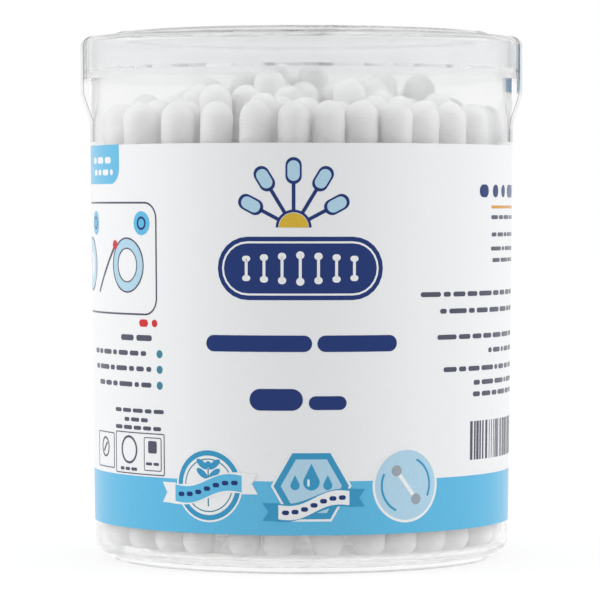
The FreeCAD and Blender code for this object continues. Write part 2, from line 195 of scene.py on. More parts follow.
def bumped(tree, speckle, shader, strength, distance):
    """Raises the noise as a bump on a shader."""
    bump = add(tree, "ShaderNodeBump", Strength=strength, Distance=distance)
    tree.links.new(speckle.outputs["Fac"], bump.inputs["Height"])
    tree.links.new(bump.outputs["Normal"], shader.inputs["Normal"])


def finish_tree(tree, shader, kind="ShaderNodeOutputMaterial"):
    """Joins a shader to the output of a material or of the world."""
    output = add(tree, kind)
    tree.links.new(shader.outputs[0], output.inputs["Surface"])


def clear_plastic(name, colour, roughness, wave, clearness, edge, bounces):
    """Clear moulded plastic with a little haze, that lets light through without dark shadows.

    Light that has been thrown to and fro inside it a few times leaves it straight on, dimmed as
    the edges are.
    """
    material, tree = node_tree(name)
    shader = principled(
        tree, {"Transmission Weight": clearness, "Roughness": roughness, "IOR": PLASTIC_IOR}
    )
    ripple = grain(tree, scale=90.0, stretch=(1, 1, 0.35), detail=2.0)
    tree.links.new(tinted(tree, ripple, colour, spread=0.006), shader.inputs["Base Color"])
    bumped(tree, ripple, shader, strength=wave, distance=0.1 * MM)
    path = add(tree, "ShaderNodeLightPath")
    trapped = add(tree, "ShaderNodeMath", operation="GREATER_THAN")
    trapped.inputs[1].default_value = bounces + 0.5
    tree.links.new(path.outputs["Glossy Depth"], trapped.inputs[0])
    through = add(tree, "ShaderNodeBsdfTransparent", Color=(*[c**0.5 for c in colour], 1.0))
    dimmed = add(tree, "ShaderNodeBsdfTransparent", Color=(edge, edge, edge, 1.0))
    released = mixed(tree, trapped.outputs[0], shader, dimmed)
    finish_tree(tree, mixed(tree, path.outputs["Is Shadow Ray"], released, through))
    return material


def printed(name, colour, roughness=0.32, spread=0.03):
    """Satin print on film: a fine grain in the ink and a thin varnish over it."""
    material, tree = node_tree(name)
    shader = principled(
        tree,
        {"Roughness": roughness, "Specular IOR Level": 0.1, "Coat Weight": 0.35, "Coat Roughness": 0.18},
    )
    speckle = grain(tree, scale=2600.0)
    tree.links.new(tinted(tree, speckle, colour, spread), shader.inputs["Base Color"])
    waves = grain(tree, scale=160.0, stretch=(1, 1, 0.5), detail=1.0)
    bumped(tree, waves, shader, strength=0.12, distance=0.1 * MM)
    finish_tree(tree, shader)
    return material


def cotton_material():
    """Wound cotton: streaks of fibre round the stem, soft and slightly see-through."""
    material, tree = node_tree("wound_cotton")
    shader = principled(tree, {
        "Roughness": 0.95,
        "Specular IOR Level": 0.1,
        "Sheen Weight": 0.9,
        "Sheen Roughness": 0.5,
        "Subsurface Weight": 0.8,
        "Subsurface Scale": 2.6 * MM,
        "Subsurface Radius": (1, 1, 1),
    })
    fibres = grain(tree, scale=700.0, stretch=(1, 1, 5.0), detail=6.0)
    tree.links.new(tinted(tree, fibres, COTTON_WHITE, spread=0.025), shader.inputs["Base Color"])
    bumped(tree, fibres, shader, strength=0.9, distance=0.2 * MM)
    finish_tree(tree, shader)
    return material


def stem_material():
    """White extruded plastic with faint drawing lines along it."""
    material, tree = node_tree("white_stem")
    shader = principled(tree, {"Roughness": 0.38, "IOR": PLASTIC_IOR})
    lines = grain(tree, scale=1500.0, stretch=(1, 1, 0.05), detail=2.0)
    tree.links.new(tinted(tree, lines, STEM_WHITE, spread=0.03), shader.inputs["Base Color"])
    bumped(tree, lines, shader, strength=0.15, distance=0.05 * MM)
    finish_tree(tree, shader)
    return material


def product_and_sum(tree, value, weight, rest=None):
    """A node that gives value times weight plus rest. The weight is a number or a socket."""
    term = add(tree, "ShaderNodeMath", operation="MULTIPLY_ADD")
    tree.links.new(value, term.inputs[0])
    if isinstance(weight, float):
        term.inputs[1].default_value = weight
    else:
        tree.links.new(weight, term.inputs[1])
    term.inputs[2].default_value = 0.0
    if rest is not None:
        tree.links.new(rest, term.inputs[2])
    return term.outputs[0]


def weighted(tree, weights):
    """A sum of the Light Path's answers, each with its weight."""
    path = add(tree, "ShaderNodeLightPath")
    total = None
    for answer, weight in weights.items():
        total = product_and_sum(tree, path.outputs[answer], weight, total)
    return total


def far_white_share(tree):
    """What the camera's share of the floor's glow gains with the distance from the tub."""
    place = add(tree, "ShaderNodeTexCoord")
    reach = add(tree, "ShaderNodeVectorMath", operation="LENGTH")
    tree.links.new(place.outputs["Object"], reach.inputs[0])
    fade = add(tree, "ShaderNodeMapRange")
    fade.inputs["From Min"].default_value = FLOOR_FADE_FROM
    fade.inputs["From Max"].default_value = FLOOR_FADE_TO
    fade.inputs["To Max"].default_value = 1 - FLOOR_GLOW_SHARES["Is Camera Ray"]
    tree.links.new(reach.outputs["Value"], fade.inputs["Value"])
    return fade.outputs["Result"]


def floor_material():
    """A lit white table: white to the camera but for a soft shadow, and white through plastic.

    Away from the tub the camera sees more and more of the plain white.
    """
    material, tree = node_tree("studio_floor")
    card = add(tree, "ShaderNodeBsdfDiffuse")
    speckle = grain(tree, scale=40.0)
    tree.links.new(tinted(tree, speckle, FLOOR_GREY, spread=0.01), card.inputs["Color"])
    glow = add(tree, "ShaderNodeEmission", Strength=FLOOR_GLOW)
    path = add(tree, "ShaderNodeLightPath")
    near_share = weighted(tree, FLOOR_GLOW_SHARES)
    share = product_and_sum(tree, path.outputs["Is Camera Ray"], far_white_share(tree), near_share)
    finish_tree(tree, mixed(tree, share, card, glow))
    return material


def put(name, data):
    """A new object in the scene."""
    thing = bpy.data.objects.new(name, data)
    bpy.context.collection.objects.link(thing)
    return thing


def set_camera():
    """The photograph's camera."""
    camera = put("camera", bpy.data.cameras.new("camera"))
    camera.data.sensor_width = SENSOR_WIDTH
    camera.data.lens = FOCAL_PIXELS / IMAGE_SIZE * SENSOR_WIDTH
    camera.data.clip_start = CAMERA_NEAREST
    aside = (IMAGE_SIZE / 2 - TUB_AXIS_X_PIXEL) / FOCAL_PIXELS * CAMERA_DISTANCE
    camera.location = (aside, -CAMERA_DISTANCE, CAMERA_HEIGHT)
    camera.rotation_euler = (math.pi / 2 - CAMERA_PITCH, 0, 0)
    bpy.context.scene.camera = camera


def set_world():
    """White behind the object and in its reflections, and a plainer level of light on it."""
    world = bpy.data.worlds.new("studio")
    bpy.context.scene.world = world
    world.use_nodes = True
    tree = world.node_tree
    tree.nodes.clear()
    soft = add(tree, "ShaderNodeBackground", Color=(1, 1, 1, 1), Strength=WORLD_LEVEL)
    white = add(tree, "ShaderNodeBackground", Color=(1, 1, 1, 1), Strength=1.0)
    mix = mixed(tree, weighted(tree, WORLD_WHITE_SHARES), soft, white)
    finish_tree(tree, mix, "ShaderNodeOutputWorld")


def make_softbox(name, place, size, power):
    """An area light that faces the middle of the tub. Reflections show the white world instead."""
    lamp = bpy.data.lights.new(name, "AREA")
    lamp.shape = "RECTANGLE"
    lamp.size, lamp.size_y = size
    lamp.energy = power
    box = put(name, lamp)
    box.visible_camera = box.visible_glossy = box.visible_transmission = False
    box.location = place
    middle = Vector((0, 0, (cad_low[2] + cad_high[2]) / 2))
    box.rotation_euler = (middle - Vector(place)).to_track_quat("-Z", "Y").to_euler()


def make_floor():
    """A wide white floor under the tub."""
    mesh = bpy.data.meshes.new("floor")
    half = FLOOR_HALF_SIZE
    corners = [(x, y, 0) for x, y in block(-half, half, -half, half)]
    mesh.from_pydata(corners, [], [(0, 1, 2, 3)])
    mesh.materials.append(floor_material())
    floor = put("floor", mesh)
    floor.location = (0, 0, cad_low[2] - FLOOR_GAP)


def new_piece(name, mesh, material, body):
    """Puts a mesh in as a piece that rides on a body."""
    piece = put(name, mesh)
    mesh.materials.append(material)
    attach(piece, body)
    return piece


def dress(node, material):
    """Gives a carried-over solid its finish."""
    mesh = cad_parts[node].data
    mesh.materials.clear()
    mesh.materials.append(material)


def corners_of(node):
    """The node's vertices as rows of x, y, z."""
    return np.array([v.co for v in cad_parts[node].data.vertices])


# The label's outer skin: its radius at its lower and upper edge, measured on its front half,
# where the ends don't overlap
label_low, label_high = (float(corner[2]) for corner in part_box("label"))
label_front = np.array([point for point in corners_of("label") if point[1] < 0])
EDGE_REACH = 0.01 * MM


def skin_radius(edge):
    """Outer radius of the label's front half at one of its edges."""
    at_edge = label_front[np.abs(label_front[:, 2] - edge) < EDGE_REACH]
    return float(np.hypot(at_edge[:, 0], at_edge[:, 1]).max())


skin_low, skin_high = skin_radius(label_low), skin_radius(label_high)
skin_mean = (skin_low + skin_high) / 2

# The upper end of the label's overlap, at the back: its half width and how far it stands out
FLAP_HALF_WIDTH = 3.0
FLAP_LIFT = 0.1

# Ink: thickness of a layer, gap under the first one, the widest flat strip round the skin, how
# near a corner lies to a cut to count as on it, and how near two corners lie to become one
INK_STEP = 0.01
INK_GAP = 0.002
INK_CUT = 0.6
INK_CUT_REACH = 1e-5
INK_MERGE_REACH = 1e-4


def skin_point(along, height, lift):
    """A place on the label: millimetres round from its front, millimetres up, millimetres proud."""
    angle = along * MM / skin_mean
    share = (height * MM - label_low) / (label_high - label_low)
    over_flap = abs(abs(angle) - math.pi) * skin_mean < FLAP_HALF_WIDTH * MM
    radius = skin_low + (skin_high - skin_low) * share + (lift + FLAP_LIFT * over_flap) * MM
    return Vector((radius * math.sin(angle), -radius * math.cos(angle), height * MM))


def cut_flat(shapes):
    """Flat shapes as one triangulated mesh, cut into upright strips that can follow a curve."""
    flat = bmesh.new()
    for shape in shapes:
        flat.faces.new([flat.verts.new((x, y, 0)) for x, y in shape])
    bmesh.ops.triangulate(flat, faces=flat.faces[:])
    xs = [v.co.x for v in flat.verts]
    first, last = math.ceil(min(xs) / INK_CUT), math.floor(max(xs) / INK_CUT)
    for n in range(first, last + 1):
        everything = flat.verts[:] + flat.edges[:] + flat.faces[:]
        cut = dict(plane_co=(n * INK_CUT, 0, 0), plane_no=(1, 0, 0))
        bmesh.ops.bisect_plane(flat, geom=everything, dist=INK_CUT_REACH, **cut)
    bmesh.ops.remove_doubles(flat, verts=flat.verts[:], dist=INK_MERGE_REACH)
    flat.verts.ensure_lookup_table()
    flat.verts.index_update()
    return flat


def wrap(name, shapes, material, layer=0, place=skin_point, body="tub", slot="label_film"):
    """Prints flat shapes as a thin closed layer that follows a curved skin."""
    flat = cut_flat(shapes)
    solid = bmesh.new()
    lift = INK_GAP + layer * INK_STEP
    under = [solid.verts.new(place(v.co.x, v.co.y, lift)) for v in flat.verts]
    over = [solid.verts.new(place(v.co.x, v.co.y, lift + INK_STEP)) for v in flat.verts]
    for face in flat.faces:
        loop = [v.index for v in face.verts]
        solid.faces.new([over[n] for n in loop])
        solid.faces.new([under[n] for n in reversed(loop)])
    for edge in flat.edges:
        if edge.is_boundary:
            a, b = (v.index for v in edge.verts)
            solid.faces.new((under[a], under[b], over[b], over[a]))
    bmesh.ops.recalc_face_normals(solid, faces=solid.faces[:])
    mesh = bpy.data.meshes.new(name)
    solid.to_mesh(mesh)
    flat.free()
    solid.free()
    return new_piece(name, mesh, material, body)


# Straight pieces in a circle or a ring, in a rounded corner, and in a drop or the half disc
CIRCLE_STEPS, CORNER_STEPS, ARC_STEPS = 40, 6, 24


def arc(x, y, radius, start=0.0, end=360.0, steps=CIRCLE_STEPS):
    """Points on a circle or a part of one, by degrees."""
    turns = [math.radians(start + (end - start) * n / steps) for n in range(steps + 1)]
    return [(x + radius * math.cos(t), y + radius * math.sin(t)) for t in turns]


def disc(x, y, radius):
    """A filled circle."""
    return [arc(x, y, radius)[:-1]]


def block(left, right, low, top):
    """The corners of a plain rectangle."""
    return [(left, low), (right, low), (right, top), (left, top)]


def band(outer, inner):
    """The strip between two rows of points of equal length."""
    return [
        (outer[n], outer[n + 1], inner[n + 1], inner[n])
        for n in range(len(outer) - 1)
    ]


def ring(x, y, outer, inner, start=0.0, end=360.0):
    """A circular line, whole or in part."""
    return band(arc(x, y, outer, start, end), arc(x, y, inner, start, end))


def rounded(x, y, width, height, radius):
    """The outline of a rounded rectangle by its middle."""
    radius = min(radius, width / 2, height / 2)
    points = []
    for quarter, (sx, sy) in enumerate(((1, 1), (-1, 1), (-1, -1), (1, -1))):
        cx = x + sx * (width / 2 - radius)
        cy = y + sy * (height / 2 - radius)
        points += arc(cx, cy, radius, 90 * quarter, 90 * quarter + 90, CORNER_STEPS)
    return points


def bar(x, y, width, height, radius=None):
    """A filled rounded rectangle by its middle."""
    return [rounded(x, y, width, height, height / 2 if radius is None else radius)]


def frame_line(x, y, width, height, radius, line):
    """A rounded rectangle drawn as a line."""
    outer = rounded(x, y, width, height, radius)
    inner = rounded(x, y, width - 2 * line, height - 2 * line, radius - line)
    return band(outer + outer[:1], inner + inner[:1])


def stroke(points, width):
    """A line of even width along points."""
    sides = ([], [])
    for n, (x, y) in enumerate(points):
        ax, ay = points[max(n - 1, 0)]
        bx, by = points[min(n + 1, len(points) - 1)]
        length = math.hypot(bx - ax, by - ay)
        nx, ny = -(by - ay) / length * width / 2, (bx - ax) / length * width / 2
        sides[0].append((x + nx, y + ny))
        sides[1].append((x - nx, y - ny))
    return band(*sides)


def turned(points, x, y, degrees):
    """Points turned about zero and moved to a place."""
    cos, sin = math.cos(math.radians(degrees)), math.sin(math.radians(degrees))
    return [(x + u * cos - v * sin, y + u * sin + v * cos) for u, v in points]


# Rows of bars: the shortest bar, the longest where a row doesn't give its own, and the gap
# between two bars as a share of their height
SHORTEST_BAR, LONGEST_BAR = 1.1, 4.2
BAR_GAP_SHARE = 0.75


def bar_rows(rows):
    """Rows of plain bars of uneven length.

    A row is its left end, its right end, its height on the label, the bars' height, the seed that
    breaks it into bars and, where it has one of its own, the longest bar.
    """
    shapes = []
    for left, right, y, height, seed, *longest in rows:
        pick = random.Random(seed)
        x = left
        while x < right - height:
            width = min(pick.uniform(SHORTEST_BAR, *(longest or [LONGEST_BAR])), right - x)
            shapes += bar(x + width / 2, y, width, height)
            x += width + BAR_GAP_SHARE * height
    return shapes


# A small drawn swab: half width of its stem, its bud's length as a share of the swab's, and the
# bud's width and rounding
SMALL_STEM = 0.22
SMALL_BUD_SHARE = 0.3
SMALL_BUD_WIDTH, SMALL_BUD_ROUND = 1.25, 0.6


def swab_shape(x, y, length, degrees, grow=1.0):
    """A small swab by its middle: the stem, and the bud at each end."""
    half = length / 2
    thick = SMALL_STEM * grow
    stem = turned(block(-half, half, -thick, thick), x, y, degrees)
    bud = rounded(0, 0, SMALL_BUD_SHARE * length, SMALL_BUD_WIDTH * grow, SMALL_BUD_ROUND * grow)
    buds = [turned([(u + side * half, v) for u, v in bud], x, y, degrees) for side in (-1, 1)]
    return [stem], buds


# A drawn drop: the ends of its round part in degrees, and its point's height in radii
DROP_START, DROP_END = -205, 25
DROP_POINT = 2.25


def drop_shape(x, y, radius):
    """A drop with its point up."""
    return [arc(x, y, radius, DROP_START, DROP_END, ARC_STEPS) + [(x, y + DROP_POINT * radius)]]


INK = {name: printed(f"ink_{name}", colour) for name, colour in INK_COLOURS.items()}

# The coloured band at the foot of the label: its upper edge, and the gap between its stretches
BAND_TOP = 14.3
BAND_SEAM = 0.001


def print_band():
    """The coloured band: one stretch round to the label's overlap, and two short ones over it."""
    half_way_round = math.pi * skin_mean / MM
    flap = half_way_round - FLAP_HALF_WIDTH
    stretches = (
        (-flap, flap),
        (-half_way_round + BAND_SEAM, -flap - BAND_SEAM),
        (flap + BAND_SEAM, half_way_round - BAND_SEAM),
    )
    fields = [block(left, right, label_low / MM, BAND_TOP) for left, right in stretches]
    wrap("band_print", fields, INK["sky"])


# The tab: its left, right and lower edge, the rounding of its corner, and the bars on it
TAB_LEFT, TAB_RIGHT, TAB_LOW = -62.0, -33.4, 59.5
TAB_ROUND, TAB_ROUND_STEPS = 2.6, 8
TAB_BARS = ((-44.5, -35.0, 63.2, 1.0, 3), (-44.0, -35.4, 61.3, 0.9, 4))


def print_tab():
    """The coloured tab at the upper left, which hangs from the label's upper edge."""
    top = label_high / MM
    corner = arc(TAB_RIGHT - TAB_ROUND, TAB_LOW + TAB_ROUND, TAB_ROUND, -90, 0, TAB_ROUND_STEPS)
    tab = [(TAB_LEFT, TAB_LOW)] + corner + [(TAB_RIGHT, top), (TAB_LEFT, top)]
    wrap("tab_print", [tab], INK["sky"])
    wrap("tab_words", bar_rows(TAB_BARS), INK["white"], layer=1)


# The panel: its edges, the rounding and width of its line, and the places of what it shows
PANEL_LEFT, PANEL_RIGHT, PANEL_LOW, PANEL_TOP = -62.0, -24.2, 39.2, 56.7
PANEL_ROUND = 2.6
PANEL_LINE = 0.28
NEAR_DISH = (-31.4, 46.9)
FAR_DISH = (-47.5, 46.9)
DABBING_SWAB = ((-34.6, 50.3), (-41.6, 42.6))
DABBING_TIP = (-34.9, 50.0)
PANEL_BADGES = ((-27.6, 53.4), (-43.6, 53.4))


def print_panel():
    """The framed panel at the left: two round dishes, a swab with a red tip, and two badges."""
    lines = frame_line(
        (PANEL_LEFT + PANEL_RIGHT) / 2,
        (PANEL_LOW + PANEL_TOP) / 2,
        PANEL_RIGHT - PANEL_LEFT,
        PANEL_TOP - PANEL_LOW,
        PANEL_ROUND,
        PANEL_LINE,
    )
    lines += ring(*NEAR_DISH, outer=4.3, inner=4.05)
    lines += ring(*NEAR_DISH, outer=2.7, inner=2.5)
    lines += ring(*FAR_DISH, outer=4.3, inner=4.05)
    lines += stroke(DABBING_SWAB, width=0.5)
    wrap("panel_line", lines, INK["text"])
    dishes = ring(*NEAR_DISH, outer=4.0, inner=2.75) + ring(*FAR_DISH, outer=4.0, inner=2.2)
    wrap("panel_dish", dishes, INK["sky_pale"])
    wrap("panel_swab_tip", bar(*DABBING_TIP, width=1.5, height=1.5), INK["red"], layer=1)
    badges = [shape for place in PANEL_BADGES for shape in disc(*place, radius=1.85)]
    wrap("panel_badges", badges, INK["sky"], layer=1)
    marks = [shape for place in PANEL_BADGES for shape in ring(*place, outer=1.05, inner=0.7)]
    wrap("panel_badge_marks", marks, INK["navy"], layer=2)


# Rows of bars at the left, and the bullets beside three of them
LEFT_HEADING = ((-28.3, -24.2, 38.0, 1.15, 5, 2.6),)
LEFT_BARS = (
    (-33.3, -24.1, 35.7, 0.9, 6),
    (-44.5, -25.6, 33.3, 0.75, 7),
    (-44.0, -25.6, 30.9, 0.75, 8),
    (-42.0, -25.6, 28.45, 0.75, 9),
    (-35.3, -23.0, 24.4, 0.62, 17, 2.6),
    (-32.5, -25.8, 23.0, 0.62, 18, 2.6),
    (-35.3, -23.0, 21.75, 0.62, 19, 2.6),
)
BULLET_X, BULLET_HEIGHTS = -23.8, (33.3, 30.9, 28.45)


def print_left_bars():
    """Rows of bars under the panel, three of them with a bullet."""
    wrap("left_heading", bar_rows(LEFT_HEADING), INK["red"])
    wrap("left_words", bar_rows(LEFT_BARS), INK["text"])
    bullets = [shape for height in BULLET_HEIGHTS for shape in disc(BULLET_X, height, radius=0.62)]
    wrap("left_bullets", bullets, INK["teal"])


# Boxes over the band, each by the middle of its frame, and what is drawn inside it
WIDE_BOX, WIDE_BOX_RING = (-29.1, 17.8), (-31.3, 18.3)
LEFT_BOX, LEFT_BOX_RING = (-39.5, 17.9), (-39.5, 18.3)
INNER_BOX, INNER_BOX_SQUARE = (-25.5, 17.8), (-25.5, 18.9)
WIDE_BOX_BARS = ((-33.8, -28.9, 15.3, 0.5, 31, 2.2),)
INNER_BOX_BARS = ((-27.0, -24.1, 16.3, 0.45, 33, 1.6),)
LEFT_BOX_STROKE = ((-40.2, 17.6), (-38.8, 19.0))


def print_small_boxes():
    """Plain boxes with simple figures over the band."""
    boxes = frame_line(*WIDE_BOX, width=12.4, height=6.5, radius=0.3, line=0.16)
    boxes += frame_line(*LEFT_BOX, width=7.2, height=5.6, radius=0.3, line=0.16)
    boxes += frame_line(*INNER_BOX, width=3.9, height=5.2, radius=0.3, line=0.14)
    figures = ring(*WIDE_BOX_RING, outer=2.2, inner=1.85) + bar_rows(WIDE_BOX_BARS)
    figures += ring(*LEFT_BOX_RING, outer=1.6, inner=1.3) + stroke(LEFT_BOX_STROKE, width=0.4)
    figures += bar(*INNER_BOX_SQUARE, width=1.9, height=1.9, radius=0.3) + bar_rows(INNER_BOX_BARS)
    wrap("small_boxes", boxes + figures, INK["text"], layer=1)


# The spray: its middle, each swab's direction and reach, where the stems start, the size of the
# buds and how much larger their dark rims are, and the half disc's radius
SPRAY = (-1.2, 52.8)
SPRAY_SWABS = ((28, 7.4), (59, 8.6), (90, 8.6), (121, 8.6), (152, 7.4))
SPRAY_FOOT = 2.6
SPRAY_BUD_LENGTH, SPRAY_BUD_WIDTH, SPRAY_BUD_ROUND = 3.1, 1.85, 0.92
SPRAY_RIM_SHARE = 1.32
SPRAY_SUN_RADIUS = 2.2


def print_spray():
    """Middle of the front: five swabs that spread from a yellow half disc."""
    stems, buds, rims = [], [], []
    for degrees, reach in SPRAY_SWABS:
        cos, sin = math.cos(math.radians(degrees)), math.sin(math.radians(degrees))
        foot, tip = ((SPRAY[0] + far * cos, SPRAY[1] + far * sin) for far in (SPRAY_FOOT, reach))
        stems += stroke([foot, tip], width=0.55)
        for grow, group in ((1.0, buds), (SPRAY_RIM_SHARE, rims)):
            sizes = (size * grow for size in (SPRAY_BUD_LENGTH, SPRAY_BUD_WIDTH, SPRAY_BUD_ROUND))
            group.append(turned(rounded(0, 0, *sizes), *tip, degrees))
    half_ring = ring(*SPRAY, outer=2.7, inner=2.3, start=0, end=180)
    wrap("spray_lines", stems + rims + half_ring, INK["navy"])
    wrap("spray_buds", buds, INK["sky_pale"], layer=1)
    half_disc = arc(*SPRAY, SPRAY_SUN_RADIUS, start=0, end=180, steps=ARC_STEPS)
    wrap("spray_sun", [half_disc], INK["yellow"], layer=1)


# The plaque: its middle and size, how far its line lies in from its edge, and its small swabs,
# each shorter by a step than its neighbour nearer the middle
PLAQUE = (-0.2, 46.6)
PLAQUE_WIDTH, PLAQUE_HEIGHT = 25.6, 9.6
PLAQUE_INSET = 0.7
PLAQUE_SWAB_SPACING = 2.75
PLAQUE_SWAB_LENGTH, PLAQUE_SWAB_STEP = 4.0, 0.35
PLAQUE_SWABS_A_SIDE = 3


def print_plaque():
    """The rounded plaque under the spray, with a line round it and a row of upright swabs."""
    wrap("plaque", bar(*PLAQUE, PLAQUE_WIDTH, PLAQUE_HEIGHT), INK["navy"])
    width, height = PLAQUE_WIDTH - 2 * PLAQUE_INSET, PLAQUE_HEIGHT - 2 * PLAQUE_INSET
    marks = frame_line(*PLAQUE, width, height, height / 2, line=0.3)
    for n in range(-PLAQUE_SWABS_A_SIDE, PLAQUE_SWABS_A_SIDE + 1):
        length = PLAQUE_SWAB_LENGTH - PLAQUE_SWAB_STEP * abs(n)
        stem, buds = swab_shape(PLAQUE[0] + PLAQUE_SWAB_SPACING * n, PLAQUE[1], length, degrees=90)
        marks += stem + buds
    wrap("plaque_marks", marks, INK["white"], layer=1)


# Large bars at the front: middle, width and height
FRONT_BARS = (
    (-6.7, 35.2, 16.6, 2.5),
    (8.7, 35.2, 12.6, 2.5),
    (-3.9, 26.7, 8.2, 3.3),
    (4.0, 26.2, 5.8, 2.1),
)


def print_front_bars():
    """Large plain bars under the plaque."""
    wrap("front_words", [shape for place in FRONT_BARS for shape in bar(*place)], INK["navy"])


# The sprig: its badge's middle, the leaves' form and places, and its stalk and bud above and
# below the middle
SPRIG = (-14.8, 13.5)
LEAF_LENGTH, LEAF_HALF_WIDTH = 2.3, 0.5
LEAF_POINTS = 9
LEAF_LEAN = math.radians(38)
LEAF_HEIGHTS = (1.7, 3.1)
LEAF_FOOT = (0.15, -0.6)
STALK_LOW, STALK_TOP = -3.2, 2.6
SPRIG_BUD = 3.2


def leaf_shape(side, height):
    """One leaf of the sprig, on its right or left side."""
    edge = [
        (LEAF_LENGTH / 2 * (1 - math.cos(t)), LEAF_HALF_WIDTH * math.sin(t))
        for t in np.linspace(0, math.pi, LEAF_POINTS)
    ]
    whole = edge + [(u, -v) for u, v in reversed(edge[1:-1])]
    cos, sin = math.cos(LEAF_LEAN), math.sin(LEAF_LEAN)
    x, y = SPRIG[0], SPRIG[1] + LEAF_FOOT[1] + height
    return [(x + side * (LEAF_FOOT[0] + u * cos - v * sin), y + u * sin + v * cos) for u, v in whole]


def print_sprig_badge():
    """Left badge, across the band's upper edge: a sprig of leaves in a ring."""
    x, y = SPRIG
    wrap("sprig_rim", disc(x, y, radius=5.65), INK["white"], layer=1)
    wrap("sprig_ring", ring(x, y, outer=5.35, inner=4.55), INK["sky_deep"], layer=2)
    stalk = stroke([(x, y + STALK_LOW), (x, y + STALK_TOP)], width=0.22)
    wrap("sprig_lines", ring(x, y, outer=4.1, inner=3.92) + stalk, INK["teal"], layer=2)
    leaves = [leaf_shape(side, height) for height in LEAF_HEIGHTS for side in (1, -1)]
    wrap("sprig_leaves", leaves + disc(x, y + SPRIG_BUD, radius=0.5), INK["sky_deep"], layer=3)


# Ribbons across two badges: middle, length, width, rise to the right, ink of the field and edge
RIBBONS = {
    "sprig": ((-15.0, 13.0), 12.2, 2.7, 1.7, "sky", "white"),
    "drops": ((1.9, 10.7), 11.6, 2.3, 2.1, "white", "sky_deep"),
}
RIBBON_STEPS = 24
RIBBON_WAVE, RIBBON_BAR_WAVE = 0.55, 0.5
RIBBON_EDGE_SHARE, RIBBON_FIELD_SHARE = 1.16, 0.94
RIBBON_BARS_A_SIDE = 3
# The ribbons' ends: how far a tail starts inside the end and reaches past it, where its notch
# is, and half the gap between its two halves
TAIL_INWARD, TAIL_OUTWARD, TAIL_NOTCH = 1.4, 1.2, 0.3
TAIL_HALF_GAP = 0.02


def ribbon_strip(middle, length, width, rise, grow):
    """A ribbon that waves upwards to the right."""
    edges = ([], [])
    for n in range(RIBBON_STEPS + 1):
        share = n / RIBBON_STEPS - 0.5
        height = middle[1] + rise * share + RIBBON_WAVE * math.sin(2 * math.pi * share)
        for edge, up in zip(edges, (1, -1)):
            edge.append((middle[0] + length * share * grow, height + up * width / 2 * grow))
    return band(*edges)


def ribbon_tails(middle, length, width, rise, grow):
    """The ribbon's two notched ends, each in an upper and a lower half."""
    tails = []
    for side in (-1, 1):
        x, y = middle[0] + side * length / 2 * grow, middle[1] + side * rise / 2
        for up in (-1, 1):
            outer, inner = y + up * width / 2 * grow, y + up * TAIL_HALF_GAP
            tails.append([
                (x - side * TAIL_INWARD, inner),
                (x - side * TAIL_INWARD, outer),
                (x + side * TAIL_OUTWARD, outer),
                (x + side * TAIL_NOTCH, inner),
            ])
    return tails


def print_ribbons():
    """A ribbon with a row of small bars across the left and the middle badge."""
    for name, (middle, length, width, rise, field_ink, edge_ink) in RIBBONS.items():
        form = (middle, length, width, rise)
        wrap(f"{name}_ribbon_tails", ribbon_tails(*form, RIBBON_EDGE_SHARE), INK[edge_ink], layer=4)
        wrap(f"{name}_ribbon_edge", ribbon_strip(*form, RIBBON_EDGE_SHARE), INK[edge_ink], layer=5)
        wrap(f"{name}_ribbon", ribbon_strip(*form, RIBBON_FIELD_SHARE), INK[field_ink], layer=6)
        bars = []
        for n in range(-RIBBON_BARS_A_SIDE, RIBBON_BARS_A_SIDE + 1):
            share = n / (2 * RIBBON_BARS_A_SIDE + 2)
            height = middle[1] + rise * share + RIBBON_BAR_WAVE * math.sin(2 * math.pi * share)
            bars += bar(middle[0] + length * share, height, width=1.1, height=0.7)
        wrap(f"{name}_ribbon_words", bars, INK["navy"], layer=7)


# The drops: their badge's middle, and how far each drop and the glint lie from it, with the
# drop's radius
DROPS = (1.5, 13.6)
DROP_PLACES = ((0.0, 0.6, 1.25), (-2.5, 0.1, 0.7), (2.5, 0.1, 0.7))
GLINT_PLACE = (-0.45, 0.5)
SIX_SIDES = 6


def six_sided(radius):
    """The middle badge's outline, with a corner to the right."""
    return [arc(*DROPS, radius, steps=SIX_SIDES)[:-1]]


def print_drops_badge():
    """Middle badge: a six-sided plate with a large drop between two small ones."""
    x, y = DROPS
    wrap("drops_rim", six_sided(radius=6.2), INK["white"], layer=1)
    wrap("drops_plate", six_sided(radius=5.8), INK["sky_deep"], layer=2)
    wrap("drops_field", six_sided(radius=4.7), INK["sky_pale"], layer=3)
    drops = [shape for u, v, radius in DROP_PLACES for shape in drop_shape(x + u, y + v, radius)]
    wrap("drops_print", drops, INK["sky_deep"], layer=4)
    glint = bar(x + GLINT_PLACE[0], y + GLINT_PLACE[1], width=0.35, height=1.1)
    wrap("drops_glint", glint, INK["white"], layer=5)


SWAB_BADGE = (16.8, 13.5)


def print_swab_badge():
    """Right badge: a swab on a pale disc, between two curved lines."""
    wrap("swab_badge_rim", disc(*SWAB_BADGE, radius=5.75), INK["white"], layer=1)
    wrap("swab_badge_field", disc(*SWAB_BADGE, radius=5.35), INK["sky_pale"], layer=2)
    stem, buds = swab_shape(*SWAB_BADGE, length=5.6, degrees=128, grow=1.35)
    wrap("swab_badge_stem", stem, INK["white"], layer=3)
    wrap("swab_badge_buds", buds, INK["silver"], layer=4)
    curves = ring(*SWAB_BADGE, outer=4.4, inner=4.05, start=-25, end=65)
    curves += ring(*SWAB_BADGE, outer=4.4, inner=4.05, start=155, end=245)
    wrap("swab_badge_arcs", curves, INK["sky_deep"], layer=3)


